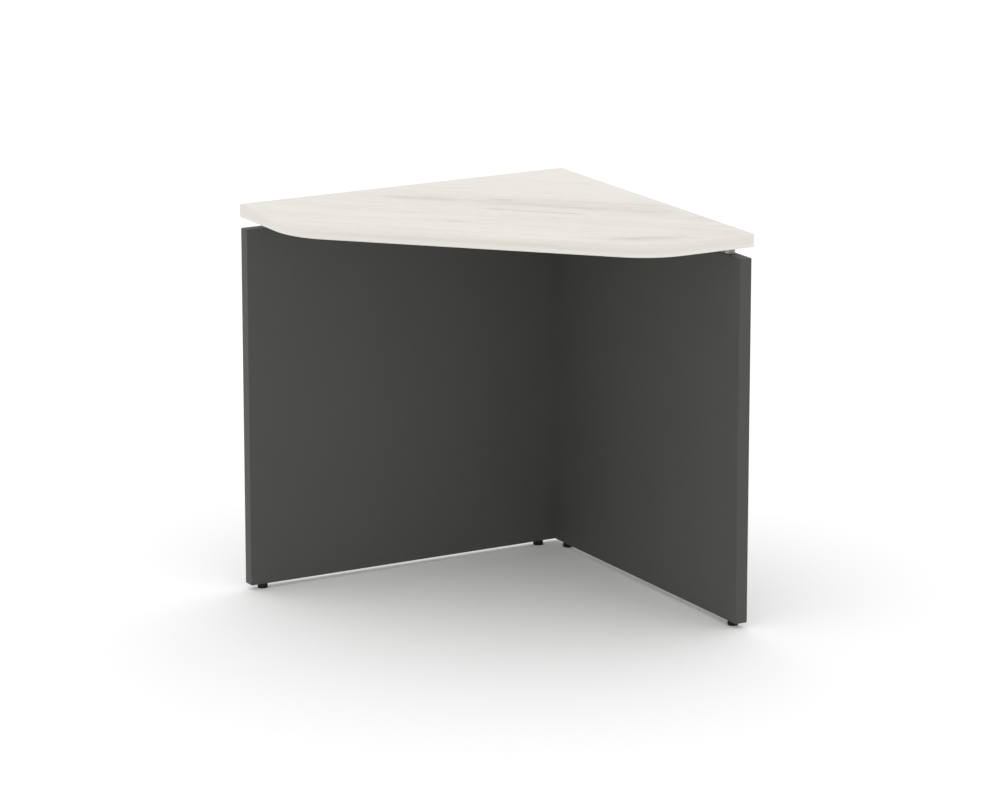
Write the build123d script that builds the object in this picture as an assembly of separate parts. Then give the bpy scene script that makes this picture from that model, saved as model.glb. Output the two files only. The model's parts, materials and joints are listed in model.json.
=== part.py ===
from build123d import *
import math
import os

# Corner table: a square-cornered top with a straight diagonal front, carried on two
# panels that meet at right angles. Millimetres, +Z up, origin on the floor under the
# middle of the square that the two wall sides of the top span. The wall corner is at
# +X +Y. The back panel runs along X, the side panel along Y.

# Top
side_length = 700.0
table_height = 750.0
top_thickness = 25.0
end_straight = 150.0
front_curve_radius = 150.0
wall_corner_radius = 2.0

# Panels
panel_thickness = 25.0
panel_setback = 5.0
panel_corner_radius = 2.0

# Edge bands of all boards
band_thickness = 2.0
band_edge_radius = 1.5
band_edge_most_share = 0.9

# Spacers between the panels and the top
spacer_height = 20.0
spacer_diameter = 20.0
spacer_chamfer = 0.5
spacer_end_distance = 56.0
spacer_corner_distance = 80.0

# Bolts, the threaded inserts that they screw into, and the cams that pull them tight
bolt_thread_diameter = 6.0
bolt_thread_length = 12.0
bolt_shank_diameter = 7.0
bolt_neck_diameter = 4.0
bolt_head_diameter = 7.0
bolt_head_thickness = 2.5
bolt_hole_clearance = 0.5
insert_diameter = 10.0
insert_length = 13.0
cam_diameter = 15.0
cam_edge_distance = 34.0
cam_floor = 1.0
cam_pocket_clearance = 0.3
cam_slot_width = 1.6
cam_slot_length = 7.0
cam_slot_depth = 2.0
cap_diameter = 17.0
cap_thickness = 1.0
cap_edge_radius = 0.5

# Corner joint between the panels: bolts and dowels take turns over its height
corner_joint_margin = 80.0
corner_joint_places = 5
dowel_diameter = 8.0
dowel_length = 30.0
dowel_in_face = 12.0
dowel_chamfer = 0.8
dowel_end_clearance = 1.0

# Levelling feet
pad_diameter = 20.0
pad_height = 10.0
pad_edge_radius = 1.0
pad_sole = 3.0
pad_key_hole_diameter = 5.0
foot_end_distance = 30.0
foot_corner_distance = 31.0
stud_diameter = 8.0
stud_reach = 20.0
stud_chamfer = 1.0
stud_head_diameter = 12.0
stud_head_thickness = 3.5
stud_key_width = 4.0
stud_key_depth = 2.5
stud_end_clearance = 4.0
foot_insert_diameter = 12.0
foot_insert_length = 13.0

# Clearances all round, and one overrun for every cut
seat_clearance = 0.05
running_clearance = 0.05
overrun = 1.0

# Levels and planes that follow from the sizes above
half_side = side_length / 2
top_underside = table_height - top_thickness
panel_top = top_underside - spacer_height
outer_face = half_side - panel_setback
middle = outer_face - panel_thickness / 2
inner_face = outer_face - panel_thickness
band_round = min(band_edge_radius, band_edge_most_share * band_thickness)
front_corner = end_straight + front_curve_radius * math.tan(math.radians(45) / 2)

# A cam reaches from the panel's outer face past the bolt's head, which lies in mid panel
cam_top = panel_thickness / 2
cam_bottom = -bolt_head_diameter / 2 - cam_pocket_clearance - cam_floor
cam_length = cam_top - cam_bottom

# Places along a panel, for both panels alike
spacer_places = {
    "end": -half_side + spacer_end_distance,
    "corner": inner_face - spacer_corner_distance,
}
foot_places = {
    "end": -half_side + foot_end_distance,
    "corner": inner_face - foot_corner_distance,
}

# Heights of the corner joint's bolts and dowels
joint_low = pad_height + corner_joint_margin
joint_step = (panel_top - corner_joint_margin - joint_low) / (corner_joint_places - 1)
joint_heights = [joint_low + i * joint_step for i in range(corner_joint_places)]
corner_bolt_heights = joint_heights[0::2]
dowel_heights = joint_heights[1::2]

diagonal = Plane(origin=(0, 0, 0), z_dir=(1, -1, 0))


def box_between(low, high):
    """Box with its opposite corners at the points low and high."""
    size = [b - a for a, b in zip(low, high)]
    centre = [(a + b) / 2 for a, b in zip(low, high)]
    return Pos(*centre) * Box(*size)


def rod(diameter, start, direction, length):
    """Round rod that runs from start along direction."""
    base = Plane(origin=start, z_dir=direction)
    return base * Cylinder(diameter / 2, length, align=(Align.CENTER, Align.CENTER, Align.MIN))


def drilled(piece, holes):
    """Piece with every hole cut out of it."""
    for hole in holes:
        piece = piece - hole
    return piece


def to_side(shape):
    """Mirror image of a back panel shape, at the side panel."""
    return mirror(shape, about=diagonal)


def both_panels(shapes):
    """The back panel's shapes, then their images at the side panel."""
    return shapes + [to_side(shape) for shape in shapes]


def banded(outer, inner, thickness, axis):
    """Board cut to the inner face, and the ring of rounded edge band round it."""
    plate = extrude(outer, thickness)
    faces = plate.faces().sort_by(axis)
    plate = fillet(faces[0].edges() + faces[-1].edges(), band_round)
    board = extrude(inner, thickness)
    return board, plate - board


# Top: a board with one band along each wall side, and one band from end to end round the front


def top_plan():
    """Plan of the top, with only the two front corners rounded."""
    wall = half_side
    cut = half_side - front_corner
    line = Polyline((wall, wall), (-wall, wall), (-wall, cut), (cut, -wall), (wall, -wall), close=True)
    plan = make_face(line)
    front = [v for v in plan.vertices() if abs(v.X + v.Y - cut + wall) < band_thickness]
    return fillet(front, front_curve_radius)


def make_top(nodes):
    plan = Pos(0, 0, top_underside) * top_plan()
    inner = offset(plan, amount=-band_thickness, kind=Kind.INTERSECTION)
    wall_corners = [v for v in plan.vertices() if v.X + v.Y > -band_thickness]
    outer = fillet(wall_corners, wall_corner_radius)
    board, ring = banded(outer, inner, top_thickness, Axis.Z)

    far = half_side + overrun
    near = half_side - band_thickness
    low = top_underside - overrun
    high = table_height + overrun
    back_strip = box_between((-far, near, low), (far, far, high))
    side_strip = box_between((near, -far, low), (far, near, high))
    nodes["top_board"] = drilled(board, insert_holes_in_top())
    nodes["top_back_band"] = ring & back_strip
    nodes["top_side_band"] = ring & side_strip
    nodes["top_front_band"] = ring - back_strip - side_strip


# Panels: a board with a band on each edge that shows


def panel_board_and_ring(far_end):
    """Back panel's board and ring of band, from the free end to far_end."""
    wide = far_end + half_side
    tall = panel_top - pad_height
    plane = Plane(
        origin=((far_end - half_side) / 2, outer_face, (panel_top + pad_height) / 2),
        x_dir=(1, 0, 0),
        z_dir=(0, -1, 0),
    )
    outer = plane * RectangleRounded(wide, tall, panel_corner_radius)
    inner = plane * Rectangle(wide - 2 * band_thickness, tall - 2 * band_thickness)
    return banded(outer, inner, panel_thickness, Axis.Y)


def make_back_panel(nodes):
    board, ring = panel_board_and_ring(outer_face)
    holes = top_fixing_holes() + foot_holes() + corner_face_holes()
    nodes["back_panel_board"] = drilled(board, holes)

    near, far = inner_face - overrun, outer_face + overrun
    low, high = pad_height - overrun, panel_top + overrun
    end_strip = box_between((-half_side - overrun, near, low), (-half_side + band_thickness, far, high))
    corner_strip = box_between((outer_face - band_thickness, near, low), (far, far, high))
    upper_half = box_between((-half_side, near, (low + high) / 2), (far, far, high))
    level = drilled(ring, [end_strip, corner_strip] + holes)
    nodes["back_panel_end_band"] = ring & end_strip
    nodes["back_panel_corner_band"] = ring & corner_strip
    nodes["back_panel_top_band"] = level & upper_half
    nodes["back_panel_bottom_band"] = level - upper_half


def make_side_panel(nodes):
    """The side panel ends at the back panel's inner face, and has no band there."""
    board, ring = panel_board_and_ring(inner_face + band_thickness + panel_corner_radius)
    butt = box_between(
        (inner_face, inner_face - overrun, pad_height - overrun),
        (outer_face + overrun, outer_face + overrun, panel_top + overrun),
    )
    board, ring = to_side(board - butt), to_side(ring - butt)
    holes = [to_side(hole) for hole in top_fixing_holes() + foot_holes()] + corner_end_holes()
    nodes["side_panel_board"] = drilled(board, holes)

    near, far = inner_face - overrun, outer_face + overrun
    low, high = pad_height - overrun, panel_top + overrun
    end_strip = box_between((near, -half_side - overrun, low), (far, -half_side + band_thickness, high))
    upper_half = box_between((near, -half_side, (low + high) / 2), (far, far, high))
    level = drilled(ring, [end_strip] + holes)
    nodes["side_panel_end_band"] = ring & end_strip
    nodes["side_panel_top_band"] = level & upper_half
    nodes["side_panel_bottom_band"] = level - upper_half


# Holes in the boards


def insert_hole(start, direction):
    return rod(insert_diameter + 2 * seat_clearance, start, direction, insert_length + seat_clearance)


def cam_hole(centre, direction):
    """Blind hole for a cam, from the outer face inwards; centre lies on that face."""
    return rod(cam_diameter + 2 * seat_clearance, centre, direction, cam_length + seat_clearance)


def bolt_hole(start, direction):
    """Hole from a panel's edge in to the cam."""
    return rod(bolt_shank_diameter + 2 * bolt_hole_clearance, start, direction, cam_edge_distance)


def insert_holes_in_top():
    places = [(x, middle, top_underside) for x in spacer_places.values()]
    return both_panels([insert_hole(place, (0, 0, 1)) for place in places])


def top_fixing_holes():
    """Holes in the back panel for the bolts that hold the top, and for their cams."""
    holes = []
    for x in spacer_places.values():
        holes.append(bolt_hole((x, middle, panel_top), (0, 0, -1)))
        holes.append(cam_hole((x, outer_face, panel_top - cam_edge_distance), (0, -1, 0)))
    return holes


def foot_holes():
    """Holes in the back panel for the feet's threaded inserts and for their studs."""
    holes = []
    for x in foot_places.values():
        base = (x, middle, pad_height)
        holes.append(rod(foot_insert_diameter + 2 * seat_clearance, base, (0, 0, 1), foot_insert_length))
        stud_bore = stud_diameter + 2 * seat_clearance
        holes.append(rod(stud_bore, base, (0, 0, 1), stud_reach + stud_end_clearance))
    return holes


def corner_face_holes():
    """Holes in the back panel's inner face for the corner inserts and dowels."""
    bolts = [insert_hole((middle, inner_face, z), (0, 1, 0)) for z in corner_bolt_heights]
    bore = dowel_diameter + 2 * seat_clearance
    depth = dowel_in_face + dowel_end_clearance / 2
    dowels = [rod(bore, (middle, inner_face, z), (0, 1, 0), depth) for z in dowel_heights]
    return bolts + dowels


def corner_end_holes():
    """Holes in the side panel's end for the corner bolts, their cams and the dowels."""
    holes = []
    for z in corner_bolt_heights:
        holes.append(bolt_hole((middle, inner_face, z), (0, -1, 0)))
        holes.append(cam_hole((outer_face, inner_face - cam_edge_distance, z), (-1, 0, 0)))
    bore = dowel_diameter + 2 * seat_clearance
    depth = dowel_length - dowel_in_face + dowel_end_clearance / 2
    for z in dowel_heights:
        holes.append(rod(bore, (middle, inner_face, z), (0, -1, 0), depth))
    return holes


# Spacers: plain metal sleeves that stand on the panels and carry the top


def make_spacers(nodes):
    for place, x in spacer_places.items():
        base = (x, middle, panel_top)
        sleeve = rod(spacer_diameter, base, (0, 0, 1), spacer_height)
        rims = sleeve.edges().filter_by(GeomType.CIRCLE)
        sleeve = chamfer(rims, spacer_chamfer)
        sleeve = sleeve - rod(bolt_shank_diameter + 2 * bolt_hole_clearance, base, (0, 0, 1), spacer_height)
        nodes["back_" + place + "_spacer"] = sleeve
        nodes["side_" + place + "_spacer"] = to_side(sleeve)


# Cam fittings: insert, bolt, cam and cap. A fitting's frame has its origin where the bolt's
# axis crosses the cam's, +X along the bolt to the insert and +Z along the cam to the cap.


def insert():
    """Threaded insert along +Z, with its mouth at the origin."""
    body = rod(insert_diameter, (0, 0, 0), (0, 0, 1), insert_length)
    return body - rod(bolt_thread_diameter + 2 * seat_clearance, (0, 0, 0), (0, 0, 1), insert_length)


def bolt(insert_distance):
    """Bolt whose thread starts at insert_distance from the cam's axis."""
    head_start = -bolt_head_thickness / 2
    neck_start = bolt_head_thickness / 2
    shank_start = cam_diameter / 2 + cam_pocket_clearance
    along = (1, 0, 0)
    return (
        rod(bolt_head_diameter, (head_start, 0, 0), along, bolt_head_thickness)
        + rod(bolt_neck_diameter, (neck_start, 0, 0), along, shank_start - neck_start)
        + rod(bolt_shank_diameter, (shank_start, 0, 0), along, insert_distance - shank_start)
        + rod(bolt_thread_diameter, (insert_distance, 0, 0), along, bolt_thread_length)
    )


def cross(width, length, low, high):
    """Two crossed bars of one length, from the level low to the level high."""
    bar = box_between((-length / 2, -width / 2, low), (length / 2, width / 2, high))
    return bar + Rot(0, 0, 90) * bar


def cam():
    """Round cam with a pocket for the bolt's head, open to one side, and a slot for its neck."""
    body = rod(cam_diameter, (0, 0, cam_bottom), (0, 0, 1), cam_length)
    wide = bolt_head_diameter / 2 + cam_pocket_clearance
    narrow = bolt_neck_diameter / 2 + cam_pocket_clearance
    deep = bolt_head_thickness / 2
    rim = cam_diameter / 2 + overrun
    pocket = box_between((-deep - cam_pocket_clearance, -wide, -wide), (deep, rim, wide))
    slot = box_between((-deep, -narrow, -narrow), (rim, rim, narrow))
    recess = cross(cam_slot_width, cam_slot_length, cam_top - cam_slot_depth, cam_top + overrun)
    return body - pocket - slot - recess


def cap():
    """Cover cap: a thin round disc over the cam, held by its crossed tongues in the cam's slots."""
    disc = rod(cap_diameter, (0, 0, cam_top), (0, 0, 1), cap_thickness)
    rim = disc.faces().sort_by(Axis.Z)[-1].edges()
    disc = fillet(rim, min(cap_edge_radius, cap_thickness * band_edge_most_share))
    tongue_width = cam_slot_width - 2 * seat_clearance
    tongue_length = cam_slot_length - 2 * seat_clearance
    return disc + cross(tongue_width, tongue_length, cam_top - cam_slot_depth + seat_clearance, cam_top)


def make_fittings(nodes):
    top_level = panel_top - cam_edge_distance
    top_frames = [
        Plane(origin=(x, middle, top_level), x_dir=(0, 0, 1), z_dir=(0, 1, 0))
        for x in spacer_places.values()
    ]
    corner_frames = [
        Plane(origin=(middle, inner_face - cam_edge_distance, z), x_dir=(0, 1, 0), z_dir=(1, 0, 0))
        for z in corner_bolt_heights
    ]
    top_bolt = bolt(cam_edge_distance + spacer_height)
    corner_bolt = bolt(cam_edge_distance)
    nodes["top_bolts"] = both_panels([frame * top_bolt for frame in top_frames])
    nodes["corner_bolts"] = [frame * corner_bolt for frame in corner_frames]
    for name, piece in (("cams", cam()), ("cam_caps", cap())):
        at_top = both_panels([frame * piece for frame in top_frames])
        nodes[name] = at_top + [frame * piece for frame in corner_frames]

    mouths = [Plane(origin=(x, middle, top_underside), z_dir=(0, 0, 1)) for x in spacer_places.values()]
    in_top = both_panels([mouth * insert() for mouth in mouths])
    faces = [Plane(origin=(middle, inner_face, z), z_dir=(0, 1, 0)) for z in corner_bolt_heights]
    nodes["bolt_inserts"] = in_top + [face * insert() for face in faces]


def make_dowels(nodes):
    start = inner_face + dowel_in_face
    dowels = []
    for z in dowel_heights:
        dowel = rod(dowel_diameter, (middle, start, z), (0, -1, 0), dowel_length)
        dowels.append(chamfer(dowel.edges().filter_by(GeomType.CIRCLE), dowel_chamfer))
    nodes["corner_dowels"] = dowels


# Levelling feet: a plastic pad that stays on the floor, and a stud that turns in it and in the
# panel's threaded insert, by a hexagon key through the pad's sole


def foot_pad(base):
    """Pad with a chamber for the stud's head, shut above but for the stud's hole."""
    pad = rod(pad_diameter, base, (0, 0, 1), pad_height)
    pad = fillet(pad.faces().sort_by(Axis.Z)[0].edges(), pad_edge_radius)
    floor = (base[0], base[1], base[2] + pad_sole)
    chamber_height = stud_head_thickness + running_clearance
    chamber = rod(stud_head_diameter + 2 * running_clearance, floor, (0, 0, 1), chamber_height)
    neck = rod(stud_diameter + 2 * running_clearance, floor, (0, 0, 1), pad_height - pad_sole)
    key_hole = rod(pad_key_hole_diameter, base, (0, 0, 1), pad_sole)
    return pad - chamber - neck - key_hole


def foot_stud(base):
    """Stud with a round head in the pad, from the pad's sole up into the panel."""
    floor = (base[0], base[1], base[2] + pad_sole)
    shank = rod(stud_diameter, floor, (0, 0, 1), pad_height - pad_sole + stud_reach)
    shank = chamfer(shank.faces().sort_by(Axis.Z)[-1].edges(), stud_chamfer)
    stud = shank + rod(stud_head_diameter, floor, (0, 0, 1), stud_head_thickness)
    key = RegularPolygon(stud_key_width / 2, 6, major_radius=False)
    return stud - extrude(Pos(*floor) * key, stud_key_depth)


def foot_insert(base):
    """Threaded insert for a stud, flush with the panel's bottom edge."""
    mouth = (base[0], base[1], base[2] + pad_height)
    body = rod(foot_insert_diameter, mouth, (0, 0, 1), foot_insert_length)
    return body - rod(stud_diameter + 2 * running_clearance, mouth, (0, 0, 1), foot_insert_length)


def make_feet(nodes):
    for place, x in foot_places.items():
        base = (x, middle, 0)
        for part_name, piece in (("foot_pad", foot_pad(base)), ("foot_stud", foot_stud(base))):
            nodes["back_" + place + "_" + part_name] = piece
            nodes["side_" + place + "_" + part_name] = to_side(piece)
    nodes["foot_inserts"] = both_panels([foot_insert((x, middle, 0)) for x in foot_places.values()])


def main():
    nodes = {}
    make_top(nodes)
    make_back_panel(nodes)
    make_side_panel(nodes)
    make_spacers(nodes)
    make_fittings(nodes)
    make_dowels(nodes)
    make_feet(nodes)
    os.makedirs("parts", exist_ok=True)
    for name, shape in nodes.items():
        solids = shape if isinstance(shape, list) else [shape]
        export_step(Compound(children=[s for piece in solids for s in piece.solids()]), "parts/" + name + ".step")


main()
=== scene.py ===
import json
import math

import bmesh
import bpy
from mathutils import Matrix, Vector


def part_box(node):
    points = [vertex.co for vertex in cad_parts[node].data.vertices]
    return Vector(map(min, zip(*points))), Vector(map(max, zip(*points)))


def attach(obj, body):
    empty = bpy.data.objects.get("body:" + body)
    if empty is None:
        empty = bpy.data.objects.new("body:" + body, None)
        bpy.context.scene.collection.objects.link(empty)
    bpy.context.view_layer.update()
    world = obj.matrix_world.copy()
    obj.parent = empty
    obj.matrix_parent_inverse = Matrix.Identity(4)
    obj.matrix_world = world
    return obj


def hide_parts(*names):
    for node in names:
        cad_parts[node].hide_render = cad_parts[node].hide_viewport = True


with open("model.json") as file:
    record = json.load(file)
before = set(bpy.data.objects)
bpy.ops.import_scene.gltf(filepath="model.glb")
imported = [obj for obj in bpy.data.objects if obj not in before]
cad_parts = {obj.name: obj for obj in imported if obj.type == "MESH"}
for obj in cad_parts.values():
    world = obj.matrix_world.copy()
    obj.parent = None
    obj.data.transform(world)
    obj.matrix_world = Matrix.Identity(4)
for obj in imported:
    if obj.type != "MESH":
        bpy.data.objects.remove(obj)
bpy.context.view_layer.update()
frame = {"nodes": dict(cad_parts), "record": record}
scene = bpy.context.scene
nodes = frame["nodes"]


# Sizes taken from the frame, in metres


def measured(length):
    """A length to a tenth of a millimetre, because round pieces are many-sided in the frame."""
    return round(length, 4)


pad_low, pad_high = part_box("back_end_foot_pad")
stud_low, stud_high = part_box("back_end_foot_stud")
TOP_LEVEL = measured(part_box("top_board")[1].z)
PAD_RADIUS = measured((pad_high.x - pad_low.x) / 2)
PAD_HEIGHT = measured(pad_high.z - pad_low.z)
HEAD_RADIUS = measured((stud_high.x - stud_low.x) / 2)
HEAD_SEAT = measured(stud_low.z)
STUD_TOP = measured(stud_high.z)


# Colours


def srgb(red, green, blue):
    """Colour written as on a screen, 0 to 255, turned into the light that a shader takes."""
    parts = [c / 255 for c in (red, green, blue)]
    return [c / 12.92 if c <= 0.04045 else ((c + 0.055) / 1.055) ** 2.4 for c in parts] + [1]


def scaled(colour, factor):
    """The same colour made lighter or darker by a factor."""
    return [c * factor for c in colour[:3]] + [1]


WHITE = (1, 1, 1, 1)


# Shader maths


X, Y, Z = (1, 0, 0), (0, 1, 0), (0, 0, 1)


class Value:
    """A socket of one finish. Arithmetic on it adds Math nodes to that finish."""

    def __init__(self, finish, socket):
        self.finish, self.socket = finish, socket

    def math(self, operation, *values):
        """What one Math node makes of the values."""
        return self.finish.node("ShaderNodeMath", {"operation": operation}, values)

    def __add__(self, other):
        return self.math("ADD", self, other)

    def __sub__(self, other):
        return self.math("SUBTRACT", self, other)

    def __rsub__(self, other):
        return self.math("SUBTRACT", other, self)

    def __mul__(self, other):
        return self.math("MULTIPLY", self, other)

    def __truediv__(self, other):
        return self.math("DIVIDE", self, other)

    def __neg__(self):
        return self * -1

    __radd__ = __add__
    __rmul__ = __mul__

    def hill(self, centre, width):
        """1 where the value is at centre, falling to 0 either side over about width."""
        away = (self - centre) / width
        return self.math("EXPONENT", -(away * away))

    def step(self, low, high):
        """0 below low, 1 above high, and a smooth rise between them."""
        kind = {"interpolation_type": "SMOOTHSTEP"}
        return self.finish.node("ShaderNodeMapRange", kind, Value=self, From_Min=low, From_Max=high)

    def window(self, low, high, soft):
        """1 between low and high, falling to 0 over soft outside them."""
        return self.step(low - soft, low) * (1 - self.step(high, high + soft))

    def swing(self, size, middle=0):
        """Noise, which lies round a half, made to swing round another middle."""
        return middle + (self - 0.5) * size

    def at_least(self, other):
        return self.math("MAXIMUM", self, other)


def named_socket(sockets, name):
    """The socket with that name or identifier, where an underscore stands for a space."""
    for socket in sockets:
        if name in (socket.identifier, socket.name.replace(" ", "_")):
            return socket
    raise KeyError(name)


class Finish:
    """The nodes of one material, or of the world."""

    def __init__(self, name, owner=None):
        self.owner = owner or bpy.data.materials.new(name)
        self.owner.use_nodes = True
        self.tree = self.owner.node_tree
        self.tree.nodes.clear()

    def node(self, kind, settings=None, values=(), out=0, **named):
        """Adds a node: settings first, then its sockets in order or by name; gives one output."""
        made = self.tree.nodes.new(kind)
        for name, value in (settings or {}).items():
            setattr(made, name, value)
        sockets = list(zip(made.inputs, values))
        sockets += [(named_socket(made.inputs, name), value) for name, value in named.items()]
        for socket, value in sockets:
            if isinstance(value, Value):
                self.tree.links.new(value.socket, socket)
            else:
                socket.default_value = value
        if made.outputs:
            output = made.outputs[out] if isinstance(out, int) else named_socket(made.outputs, out)
            return Value(self, output)

    def place(self):
        """The shaded point in the object's own metres."""
        return self.node("ShaderNodeTexCoord", out="Object")

    def along(self, direction):
        """How far the shaded point lies along a direction, in metres."""
        values = (self.place(), direction)
        return self.node("ShaderNodeVectorMath", {"operation": "DOT_PRODUCT"}, values, out="Value")

    def axes(self):
        """How far the shaded point lies along x, y and z, in metres."""
        return [self.along(way) for way in (X, Y, Z)]

    def vector(self, x, y, z):
        """Three values as one vector."""
        return self.node("ShaderNodeCombineXYZ", values=(x, y, z))

    def noise(self, vector, scale=1, detail=2, roughness=0.5):
        """Noise from 0 to 1, with about scale cells in each unit of the vector."""
        sockets = {"Vector": vector, "Scale": scale, "Detail": detail, "Roughness": roughness}
        return self.node("ShaderNodeTexNoise", **sockets)

    def layer(self, axes, cells, shift=0, cut=None, **kind):
        """Noise with its own number of cells in a metre along each of three axes.

        A shift along the first axis gives it another pattern, and a cut keeps only its peaks.
        """
        x, y, z = (axis * count for axis, count in zip(axes, cells))
        noise = self.noise(self.vector(x + shift, y, z), **kind)
        return noise.step(*cut) if cut else noise

    def mix(self, a, b, factor):
        """Colour a turning into colour b as factor goes from 0 to 1."""
        sockets = {"Factor_Float": factor, "A_Color": a, "B_Color": b}
        return self.node("ShaderNodeMix", {"data_type": "RGBA"}, out="Result_Color", **sockets)

    def bump(self, height, depth):
        """Normal that follows a height from 0 to 1, depth metres deep."""
        return self.node("ShaderNodeBump", Height=height, Distance=depth, Strength=1)

    def surface(self, **sockets):
        """Shades the finish with these values, and gives its material."""
        shader = self.node("ShaderNodeBsdfPrincipled", **sockets)
        self.node("ShaderNodeOutputMaterial", Surface=shader)
        return self.owner


# Marks of the print


def long_mark(along, across, place, width, start, stop, fade, dark):
    """A mark that follows the grain, with its place across it, its half width and its ends."""
    return across.hill(place, width) * along.window(start, stop, fade) * dark


def short_mark(along, across, place, width, middle, length, slope, dark):
    """A mark round one middle, with its half length, that crosses the grain at a slope."""
    drift = (along - middle) * slope
    return (across - drift).hill(place, width) * along.hill(middle, length) * dark


# Pale wood decor of the top


ALONG_GRAIN = (math.sqrt(0.5), -math.sqrt(0.5), 0)
ACROSS_GRAIN = (math.sqrt(0.5), math.sqrt(0.5), 0)

PALE_GROUND = srgb(236, 231.5, 225.2)
PALE_SHADE = srgb(199.5, 195, 183)

# Noise of the print, with its cells in a metre along the grain, across it and upwards
WANDER = dict(cells=(2.4, 6, 1), detail=1)
PORES = dict(cells=(60, 2600, 2600), shift=5, detail=1, cut=(0.54, 0.70))
FIBRES = dict(cells=(14, 900, 900), roughness=0.6)
STREAKS = dict(cells=(4, 90, 90), detail=3, roughness=0.6)
BROAD = dict(cells=(1.6, 16, 16), shift=7, detail=1)
LUMPS = dict(cells=(11, 70, 70), shift=3, cut=(0.35, 0.65))
DASHES = dict(cells=(22, 200, 200), roughness=0.6, cut=(0.50, 0.66))
FLECKS = dict(cells=(55, 170, 170), shift=11, roughness=0.6)
THREADS = dict(cells=(13, 460, 460), shift=2, roughness=0.6, cut=(0.40, 0.60))

# How far the grain wanders, in metres, and where the dashes gather in the broad noise
WANDER_REACH = 0.014
DASH_PATCHES = (0.46, 0.66)

# How dark the ground and each noise are drawn
GROUND_DARK = 0.10
STREAK_SWING = 0.52
BROAD_SWING = 0.25
DASH_DARK = 0.24
FLECK_SWING = 0.44
FIBRE_SWING = 0.45
PORE_DARK = 0.10

# Towards the corner of the walls the print is calmer and paler: places across the grain
# between which it changes, and by how much
CALM_RISE = (0.22, 0.33)
CALM_LOSS = 0.5
PALE_RISE = (0.18, 0.36)
PALE_LOSS = 0.08

# Long marks in metres: place across the grain and half width, then start, end and fade along
# the grain, and how dark the mark is, where a minus makes it paler than the ground
VEIN = (0.135, 0.017, -0.20, 0.26, 0.10, 0.24)
THIN_LINE = (0.083, 0.006, -0.03, 0.14, 0.03, 0.40)

# Faint marks, in the same way
SOFT_MARKS = (
    (0.162, 0.032, -0.18, 0.24, 0.10, 0.18),
    (0.100, 0.018, -0.14, 0.10, 0.08, 0.09),
    (0.190, 0.012, 0.06, 0.28, 0.06, 0.06),
    (-0.044, 0.012, -0.12, 0.00, 0.05, 0.07),
    (-0.055, 0.022, 0.10, 0.20, 0.04, 0.11),
    (-0.006, 0.024, 0.00, 0.12, 0.05, 0.12),
    (-0.100, 0.045, 0.22, 0.45, 0.06, 0.11),
    (-0.002, 0.026, 0.18, 0.45, 0.06, 0.13),
    (0.095, 0.028, 0.20, 0.45, 0.08, 0.15),
    (0.010, 0.060, 0.38, 0.45, 0.05, 0.08),
    (-0.020, 0.016, -0.40, -0.16, 0.05, -0.06),
)

# Short marks in metres: place across the grain and half width, middle and half length along
# it, slope, and how dark in the same way
SLANT = (-0.087, 0.017, 0.32, 0.06, 0.4, 0.44)
KNOTS = ((-0.041, 0.007, -0.059, 0.018, 0, 0.38), (0.170, 0.006, -0.028, 0.022, 0, 0.38))
PALE_SPOT = (-0.022, 0.010, -0.185, 0.06, 0.3, -0.12)

# The vein's even part, and how strongly streaks and threads break the marks up
VEIN_EVEN = 0.375
VEIN_THREADS = 1
SOFT_STREAKS = 1.2
SOFT_THREADS = 0.6
SLANT_STREAKS = 1.7
FINE_THREADS = 1.6

# Roughness and shine, and how deep the print is pressed in, in metres, with each noise's share
PRINT_ROUGH = dict(size=0.14, middle=0.48)
PALE_SHINE = 0.35
PRINT_DEPTH = 0.00012
FIBRE_SHARE = 0.4
DASH_SHARE = 0.3
PORE_SHARE = 0.3


def pale_decor():
    """Whitewashed wood print whose grain runs along the diagonal front."""
    f = Finish("pale_decor")
    u, v, z = (f.along(way) for way in (ALONG_GRAIN, ACROSS_GRAIN, Z))
    v = v + f.layer((u, v, z), **WANDER).swing(WANDER_REACH)
    axes = u, v, z
    pores = f.layer(axes, **PORES)
    fibres = f.layer(axes, **FIBRES)
    streaks = f.layer(axes, **STREAKS)
    broad = f.layer(axes, **BROAD)
    lumps = f.layer(axes, **LUMPS)
    dashes = f.layer(axes, **DASHES)
    flecks = f.layer(axes, **FLECKS)
    threads = f.layer(axes, **THREADS)

    drawn = streaks.swing(STREAK_SWING) + broad.swing(BROAD_SWING)
    drawn = drawn + dashes * broad.step(*DASH_PATCHES) * DASH_DARK
    calm = 1 - v.step(*CALM_RISE) * CALM_LOSS
    shade = GROUND_DARK - v.step(*PALE_RISE) * PALE_LOSS + drawn * calm
    shade = shade + flecks.swing(FLECK_SWING) + fibres.swing(FIBRE_SWING) + pores * PORE_DARK

    vein = long_mark(u, v, *VEIN) * (VEIN_EVEN + lumps + dashes)
    soft = sum(long_mark(u, v, *mark) for mark in SOFT_MARKS)
    fine = long_mark(u, v, *THIN_LINE) + sum(short_mark(u, v, *knot) for knot in KNOTS)
    fine = fine + short_mark(u, v, *SLANT) * streaks.swing(SLANT_STREAKS, middle=1)
    shade = shade + vein * threads.swing(VEIN_THREADS, middle=1)
    shade = shade + soft * streaks.swing(SOFT_STREAKS, middle=1) * threads.swing(SOFT_THREADS, middle=1)
    shade = shade + fine * threads.swing(FINE_THREADS, middle=1)
    shade = shade + short_mark(u, v, *PALE_SPOT)

    relief = fibres * FIBRE_SHARE + dashes * DASH_SHARE + pores * PORE_SHARE
    return f.surface(
        Base_Color=f.mix(PALE_GROUND, PALE_SHADE, shade),
        Roughness=fibres.swing(**PRINT_ROUGH),
        Normal=f.bump(1 - relief, PRINT_DEPTH),
        Specular_IOR_Level=PALE_SHINE,
    )


# Edge band of the top


BAND_PALE = srgb(240.5, 237.3, 230.5)
BAND_SHADE = srgb(212, 208.3, 198)

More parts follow.
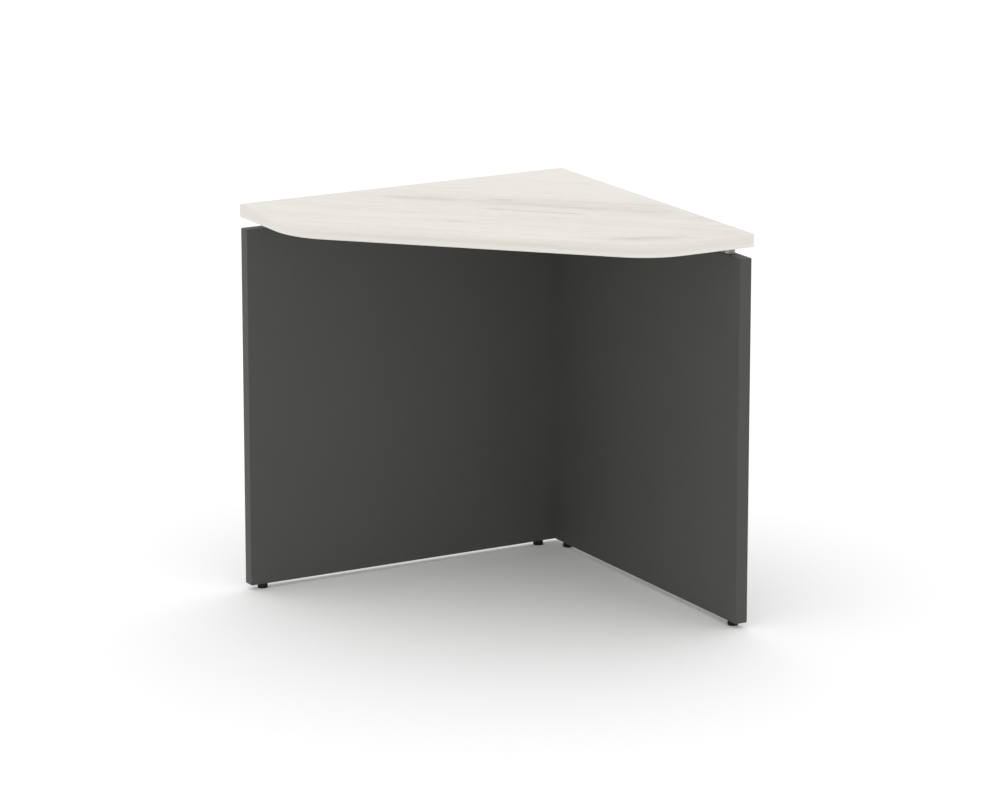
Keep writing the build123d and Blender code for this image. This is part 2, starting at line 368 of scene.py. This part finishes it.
# Noise of its print, with its cells in a metre along x, y and z
BAND_WANDER = dict(cells=(5, 5, 1), detail=1)
BAND_LINES = dict(cells=(3, 3, 260), detail=3, roughness=0.6)
BAND_FIBRES = dict(cells=(12, 12, 1100), roughness=0.6)

# How far its lines wander, in metres, how dark the ground and each noise are drawn, and relief
BAND_WANDER_REACH = 0.004
BAND_GROUND_DARK = 0.02
BAND_LINE_SWING = 0.35
BAND_FIBRE_SWING = 0.40
BAND_ROUGH = dict(size=0.12, middle=0.42)
BAND_DEPTH = 0.00006

# Marks of the band in metres: depth under the top's face and half width, then start, end and
# fade along the front, and how dark; the first three make one long streak
BAND_MARKS = (
    (0.0140, 0.0040, -0.45, 0.60, 0.05, 0.18),
    (0.0134, 0.0045, -0.22, 0.40, 0.08, 0.11),
    (0.0140, 0.0045, 0.07, 0.17, 0.08, 0.13),
    (0.0088, 0.0030, -0.12, 0.14, 0.04, 0.22),
    (0.0060, 0.0050, 0.20, 0.60, 0.06, 0.12),
    (0.0055, 0.0050, -0.36, 0.04, 0.08, -0.12),
    (0.0185, 0.0025, 0.10, 0.20, 0.04, -0.16),
    # The last mark makes the band darker over its whole height round its left end
    (0.0125, 0.0250, -0.60, -0.45, 0.08, 0.20),
)


def pale_band():
    """Edge band printed like the top, with its lines and a darker streak along the edge."""
    f = Finish("pale_band")
    axes = f.axes()
    lines = f.layer(axes, **BAND_LINES)
    fibres = f.layer(axes, **BAND_FIBRES)
    u = f.along(ALONG_GRAIN)
    depth = TOP_LEVEL - f.along(Z) - f.layer(axes, **BAND_WANDER).swing(BAND_WANDER_REACH)
    shade = BAND_GROUND_DARK + lines.swing(BAND_LINE_SWING) + fibres.swing(BAND_FIBRE_SWING)
    shade = shade + sum(long_mark(u, depth, *mark) for mark in BAND_MARKS)
    return f.surface(
        Base_Color=f.mix(BAND_PALE, BAND_SHADE, shade),
        Roughness=fibres.swing(**BAND_ROUGH),
        Normal=f.bump(1 - fibres, BAND_DEPTH),
        Specular_IOR_Level=PALE_SHINE,
    )


# Dark boards, plastics, metals and dowels


# The pearl grain of the dark boards, and a slow cloud that keeps large faces from being even:
# their noise, how light and rough they make the board, and how deep the grain is, in metres
PEARL = dict(scale=900, roughness=0.6)
CLOUD = dict(scale=7, detail=3)
PEARL_LIGHT = 1.22
PEARL_SWING = 0.8
CLOUD_SWING = 0.5
PEARL_ROUGH = 0.12
CLOUD_ROUGH = 0.06
PEARL_DEPTH = 0.0001
BOARD_SHINE = 0.2


def anthracite(name, tone, rough):
    """Matt dark melamine with a fine pearl grain."""
    f = Finish(name)
    place = f.place()
    pearl = f.noise(place, **PEARL)
    cloud = f.noise(place, **CLOUD)
    lighter = pearl.swing(PEARL_SWING, middle=0.5) + cloud.swing(CLOUD_SWING)
    return f.surface(
        Base_Color=f.mix(tone, scaled(tone, PEARL_LIGHT), lighter),
        Roughness=pearl.swing(PEARL_ROUGH, middle=rough) + cloud.swing(CLOUD_ROUGH),
        Normal=f.bump(pearl, PEARL_DEPTH),
        Specular_IOR_Level=BOARD_SHINE,
    )


# The eroded skin: its noise, how light and rough it makes the plastic, and its depth in metres
SKIN = dict(detail=3, roughness=0.6)
SKIN_LIGHT = 1.5
SKIN_ROUGH = 0.2
SKIN_DEPTH = 0.00004
PLASTIC_SHINE = 0.3


def moulded(name, tone, rough, cells):
    """Moulded plastic with a fine eroded skin, of so many cells in a metre."""
    f = Finish(name)
    skin = f.noise(f.place(), scale=cells, **SKIN)
    return f.surface(
        Base_Color=f.mix(tone, scaled(tone, SKIN_LIGHT), skin),
        Roughness=skin.swing(SKIN_ROUGH, middle=rough),
        Normal=f.bump(skin, SKIN_DEPTH),
        Specular_IOR_Level=PLASTIC_SHINE,
    )


# Stains, and the fine lines of turning or plating, in the same way
STAIN = dict(scale=160, detail=3)
STAIN_DARK = 0.8
STAIN_ROUGH = 0.1
TURNED = dict(detail=3, roughness=0.6)
TURNED_CELLS = 12
TURNED_ROUGH = 0.2
TURNED_DEPTH = 0.00002


def metal(name, tone, rough, lines):
    """Turned, plated or cast metal, with so many fine lines in a metre of height."""
    f = Finish(name)
    turned = f.layer(f.axes(), cells=(TURNED_CELLS, TURNED_CELLS, lines), **TURNED)
    stain = f.noise(f.place(), **STAIN)
    return f.surface(
        Base_Color=f.mix(tone, scaled(tone, STAIN_DARK), stain),
        Metallic=1,
        Roughness=turned.swing(TURNED_ROUGH, middle=rough) + stain.swing(STAIN_ROUGH),
        Normal=f.bump(turned, TURNED_DEPTH),
    )


# Its grain has its cells in a metre along x, y and z, and the dowels lie along y
BEECH_PALE = srgb(214, 176, 134)
BEECH_SHADE = srgb(186, 142, 100)
BEECH_GRAIN = dict(cells=(900, 40, 900), detail=3)
BEECH_ROUGH = dict(size=0.2, middle=0.6)
BEECH_DEPTH = 0.00005


def beech():
    """Beech of the dowels, with its grain along them."""
    f = Finish("beech")
    grain = f.layer(f.axes(), **BEECH_GRAIN)
    return f.surface(
        Base_Color=f.mix(BEECH_PALE, BEECH_SHADE, grain),
        Roughness=grain.swing(**BEECH_ROUGH),
        Normal=f.bump(grain, BEECH_DEPTH),
    )


# Each slot's finish, with its colour, its roughness and how fine its grain is
FINISHES = {
    "pale_wood_decor": pale_decor(),
    "pale_edge_band": pale_band(),
    "anthracite_board": anthracite("anthracite_board", srgb(80, 81, 78), 0.60),
    "anthracite_edge_band": anthracite("anthracite_band", srgb(77, 78, 75), 0.55),
    "satin_spacer": metal("satin_metal", srgb(176, 177, 172), 0.52, 6000),
    "plated_steel": metal("plated_steel", srgb(196, 198, 202), 0.30, 1500),
    "cast_zinc": metal("cast_zinc", srgb(168, 168, 170), 0.50, 900),
    "anthracite_plastic": moulded("anthracite_plastic", srgb(66, 67, 65), 0.45, 2200),
    "black_plastic": moulded("black_plastic", srgb(12, 12, 12), 0.50, 1800),
    "beech": beech(),
}


def dress_nodes():
    """Gives every node of the frame its finish."""
    for part in frame["record"]["subparts"]:
        piece = nodes[part["node"]]
        piece.data.materials.clear()
        piece.data.materials.append(FINISHES[part["material_slot"]])


# Joint lines between boards and bands


# Width of a seam and how near two corners count as one, in metres, and which edges are sharp
SEAM = 0.0002
JOINED = 0.000001
SEAM_ANGLE = math.radians(50)
BANDED = ("top_", "back_panel_", "side_panel_")


def open_seams():
    """Breaks the sharp edges of boards and bands, so that each glued joint shows as a hairline."""
    for name, piece in nodes.items():
        if name.startswith(BANDED) and name.endswith(("_board", "_band")):
            piece.modifiers.new("joined", "WELD").merge_threshold = JOINED
            edge = piece.modifiers.new("seam", "BEVEL")
            edge.width = SEAM
            edge.segments = 1
            edge.limit_method = "ANGLE"
            edge.angle_limit = SEAM_ANGLE


# Pieces turned round the vertical


# Sides of a round piece, and the sharpest bend between them that is shaded smooth
SIDES = 48
SMOOTH_UNDER = math.radians(35)


def turned_point(radius, turn, height):
    """A point by its distance from the vertical, its share of a full turn and its height."""
    angle = 2 * math.pi * turn
    return radius * math.cos(angle), radius * math.sin(angle), height


def ring(form, radius, height):
    """Points round the vertical; the radius may be a function of the share of a full turn."""
    points = []
    for i in range(SIDES):
        turn = i / SIDES
        far = radius(turn) if callable(radius) else radius
        points.append(form.verts.new(turned_point(far, turn, height)))
    return points


def join_rings(form, rings):
    """Faces between each ring and the next."""
    for low, high in zip(rings, rings[1:]):
        for i in range(SIDES):
            j = (i + 1) % SIDES
            form.faces.new((low[i], low[j], high[j], high[i]))


def finished(form, name, finish, middle, body, replaced):
    """Turns a form made round the origin into a piece of the table at its place."""
    bmesh.ops.recalc_face_normals(form, faces=form.faces)
    form.transform(Matrix.Translation((middle.x, middle.y, 0)))
    mesh = bpy.data.meshes.new(name)
    form.to_mesh(mesh)
    form.free()
    mesh.shade_smooth()
    mesh.set_sharp_from_angle(angle=SMOOTH_UNDER)
    mesh.materials.append(FINISHES[finish])
    piece = bpy.data.objects.new(name, mesh)
    scene.collection.objects.link(piece)
    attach(piece, body)
    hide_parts(replaced)


# Sizes of a foot that its pad and its stud share, in metres


STUD_RADIUS = 0.004
HEAD_HEIGHT = 0.0035
HEAD_TOP = HEAD_SEAT + HEAD_HEIGHT
CLEARANCE = 0.00005


# Foot pads


# In metres; the line is a fine groove round the rim, and the mouth is where the stud comes out
PAD_DRAFT = 0.0002
PAD_ROUND = 0.001
ROUND_STEPS = 3
SOLE_HOLE = 0.0025
SOLE_CHAMFER = 0.0003
GROOVE_INSIDE = 0.0060
GROOVE_OUTSIDE = 0.0076
GROOVE_DEPTH = 0.0004
LINE_LOW = 0.0030
LINE_HIGH = 0.0039
LINE_SLOPE = 0.0003
LINE_DEPTH = 0.00025
LINE_STEP = 0.00005
MOUTH_WIDTH = 0.0006
MOUTH_DEPTH = 0.0004


def quarter(radius, height, start):
    """Points of an outline on a quarter circle round a middle, from an angle in degrees."""
    angles = [math.radians(start + 90 * i / ROUND_STEPS) for i in range(ROUND_STEPS + 1)]
    return [(radius + PAD_ROUND * math.cos(a), height + PAD_ROUND * math.sin(a)) for a in angles]


def pad_outline():
    """Radius and height of the pad's corners, from its hole round the outside to its chamber."""
    wall = PAD_RADIUS - PAD_DRAFT
    stud_hole = STUD_RADIUS + CLEARANCE
    chamber = HEAD_RADIUS + CLEARANCE
    ceiling = HEAD_TOP + CLEARANCE
    sole = [
        (SOLE_HOLE, SOLE_CHAMFER),
        (SOLE_HOLE + SOLE_CHAMFER, 0),
        (GROOVE_INSIDE, 0),
        (GROOVE_INSIDE + GROOVE_DEPTH, GROOVE_DEPTH),
        (GROOVE_OUTSIDE - GROOVE_DEPTH, GROOVE_DEPTH),
        (GROOVE_OUTSIDE, 0),
    ]
    rim_line = [
        (PAD_RADIUS, LINE_LOW),
        (PAD_RADIUS - LINE_DEPTH, LINE_LOW + LINE_SLOPE),
        (PAD_RADIUS - LINE_DEPTH, LINE_HIGH - LINE_SLOPE),
        (PAD_RADIUS - LINE_STEP, LINE_HIGH),
    ]
    inside = [
        (STUD_RADIUS + MOUTH_WIDTH, PAD_HEIGHT),
        (stud_hole, PAD_HEIGHT - MOUTH_DEPTH),
        (stud_hole, ceiling),
        (chamber, ceiling),
        (chamber, HEAD_SEAT),
        (SOLE_HOLE, HEAD_SEAT),
    ]
    lower_edge = quarter(PAD_RADIUS - PAD_ROUND, PAD_ROUND, -90)
    upper_edge = quarter(wall - PAD_ROUND, PAD_HEIGHT - PAD_ROUND, 0)
    return sole + lower_edge + rim_line + upper_edge + inside


def foot_pad(place, middle):
    """Moulded pad: rounded sole with a ring groove, a slight draft and the head's chamber."""
    form = bmesh.new()
    rings = [ring(form, radius, height) for radius, height in pad_outline()]
    join_rings(form, rings + rings[:1])
    finished(form, place + "_glide", "black_plastic", middle, place + "_pad", place + "_foot_pad")


# Foot studs


# In metres, apart from the number of sides
THREAD_PITCH = 0.00125
THREAD_ROOT = 0.00335
THREAD_SUNK = 0.0002
STUD_CHAMFER = 0.001
KEY_SIDES = 6
KEY_WIDTH = 0.004
KEY_DEPTH = 0.0025
HEAD_CHAMFER = 0.0004

# Section of the thread: radius, and height as a share of the pitch
THREAD_SHARES = ((THREAD_ROOT, 0), (THREAD_ROOT, 0.25), (STUD_RADIUS, 0.5625), (STUD_RADIUS, 0.6875))

# Turns that are wound below the lower end, and in all more than the thread is long
TURNS_BELOW = 2
SPARE_TURNS = 4


def winding(form, low, high):
    """Strip of faces that winds up as a right-hand thread, past both of its ends."""
    turns = math.ceil((high - low) / THREAD_PITCH) + SPARE_TURNS
    stations = []
    for step in range(turns * SIDES):
        turn = step / SIDES
        start = low + (turn - TURNS_BELOW) * THREAD_PITCH
        section = [turned_point(r, turn, start + share * THREAD_PITCH) for r, share in THREAD_SHARES]
        stations.append([form.verts.new(point) for point in section])
    for step in range(len(stations) - SIDES - 1):
        # Each section ends where the same section of the next turn starts
        here, after = (stations[s] + stations[s + SIDES][:1] for s in (step, step + 1))
        for i in range(len(THREAD_SHARES)):
            form.faces.new((here[i], after[i], after[i + 1], here[i + 1]))


def thread(form, low, high):
    """Thread that is cut off level at both ends, closed, and chamfered at the upper one."""
    winding(form, low, high)
    for height, side in ((low, -1), (high, 1)):
        bmesh.ops.bisect_plane(
            form,
            geom=form.verts[:] + form.edges[:] + form.faces[:],
            plane_co=(0, 0, height),
            plane_no=(0, 0, side),
            clear_outer=True,
        )
    bmesh.ops.edgeloop_fill(form, edges=[edge for edge in form.edges if edge.is_boundary])
    for point in form.verts:
        most = STUD_RADIUS - max(0, point.co.z - (high - STUD_CHAMFER))
        far = math.hypot(point.co.x, point.co.y)
        if far > most:
            point.co.x *= most / far
            point.co.y *= most / far


def hexagon(turn):
    """Radius of the key socket at a share of a full turn."""
    side = 1 / KEY_SIDES
    away = (turn + side / 2) % side - side / 2
    return KEY_WIDTH / 2 / math.cos(2 * math.pi * away)


def foot_stud(place, middle):
    """Threaded stud with a round head and a hexagon socket for a key."""
    form = bmesh.new()
    thread(form, HEAD_TOP - THREAD_SUNK, STUD_TOP)
    outline = (
        (hexagon, HEAD_SEAT + KEY_DEPTH),
        (hexagon, HEAD_SEAT),
        (HEAD_RADIUS - HEAD_CHAMFER, HEAD_SEAT),
        (HEAD_RADIUS, HEAD_SEAT + HEAD_CHAMFER),
        (HEAD_RADIUS, HEAD_TOP - HEAD_CHAMFER),
        (HEAD_RADIUS - HEAD_CHAMFER, HEAD_TOP),
    )
    rings = [ring(form, radius, height) for radius, height in outline]
    join_rings(form, rings)
    form.faces.new(rings[0])
    form.faces.new(rings[-1])
    finished(form, place + "_screw", "plated_steel", middle, place + "_stud", place + "_foot_stud")


FOOT_PLACES = ("back_end", "back_corner", "side_corner", "side_end")


def feet():
    """The four feet, each round the middle of its own pad in the frame."""
    for place in FOOT_PLACES:
        low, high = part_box(place + "_foot_pad")
        middle = (low + high) / 2
        foot_pad(place, middle)
        foot_stud(place, middle)


# Stage


# The floor's colour in the light that it throws on the table, how many times white it is where
# it is seen, its half width in metres, and its squares along one side
FLOOR_COLOUR = srgb(244, 244, 243)
FLOOR_SEEN = 1.095
FLOOR_REACH = 40
FLOOR_SQUARES = 8

# The way to what lies behind the table, and the light from all round, from there and opposite
BEHIND = (0.36, 0.93, 0)
ROOM_LIGHT = 0.84
BACK_LIGHT = 0.60
FRONT_LIGHT = 0.15

SEES_WHITE = ("Is_Camera_Ray", "Is_Glossy_Ray", "Is_Transmission_Ray")


def seen_directly(f):
    """1 for the camera and for what shows in metal or glass, 0 for the light on the object."""
    rays = [f.node("ShaderNodeLightPath", out=name) for name in SEES_WHITE]
    return rays[0].at_least(rays[1]).at_least(rays[2])


def floor():
    """Pale floor, white to the camera where nothing shades it."""
    f = Finish("pale_floor")
    colour = f.mix(FLOOR_COLOUR, scaled(WHITE, FLOOR_SEEN), seen_directly(f))
    diffuse = f.node("ShaderNodeBsdfDiffuse", Color=colour)
    f.node("ShaderNodeOutputMaterial", Surface=diffuse)
    form = bmesh.new()
    bmesh.ops.create_grid(form, x_segments=FLOOR_SQUARES, y_segments=FLOOR_SQUARES, size=FLOOR_REACH)
    mesh = bpy.data.meshes.new("studio_floor")
    form.to_mesh(mesh)
    form.free()
    mesh.materials.append(f.owner)
    ground = bpy.data.objects.new("studio_floor", mesh)
    scene.collection.objects.link(ground)


def white_room():
    """Soft light from all round, a little stronger from behind, that is seen as plain white."""
    world = bpy.data.worlds.new("white_room")
    scene.world = world
    f = Finish("white_room", world)
    way = f.node("ShaderNodeTexCoord", out="Generated")
    behind = f.node("ShaderNodeVectorMath", {"operation": "DOT_PRODUCT"}, (way, BEHIND), out="Value")
    glow = ROOM_LIGHT + behind.at_least(0) * BACK_LIGHT + (-behind).at_least(0) * FRONT_LIGHT
    light = f.node("ShaderNodeBackground", Color=WHITE, Strength=glow)
    plain = f.node("ShaderNodeBackground", Color=WHITE, Strength=1)
    both = f.node("ShaderNodeMixShader", values=(seen_directly(f), light, plain))
    f.node("ShaderNodeOutputWorld", Surface=both)


# Camera, in metres, degrees and millimetres of lens


CAMERA_PLACE = (-4.218, -7.484, 2.582)
CAMERA_YAW = 29.49
CAMERA_PITCH = 14.23
CAMERA_LENS = 170.7
CAMERA_FAR = 200


def camera():
    """Camera that looks at the table from the photograph's side."""
    data = bpy.data.cameras.new("camera")
    data.lens = CAMERA_LENS
    data.clip_end = CAMERA_FAR
    viewer = bpy.data.objects.new("camera", data)
    viewer.location = CAMERA_PLACE
    viewer.rotation_euler = (math.radians(90 - CAMERA_PITCH), 0, math.radians(-CAMERA_YAW))
    scene.collection.objects.link(viewer)
    scene.camera = viewer


dress_nodes()
open_seams()
feet()
floor()
white_room()
camera()
scene.view_settings.view_transform = "Standard"
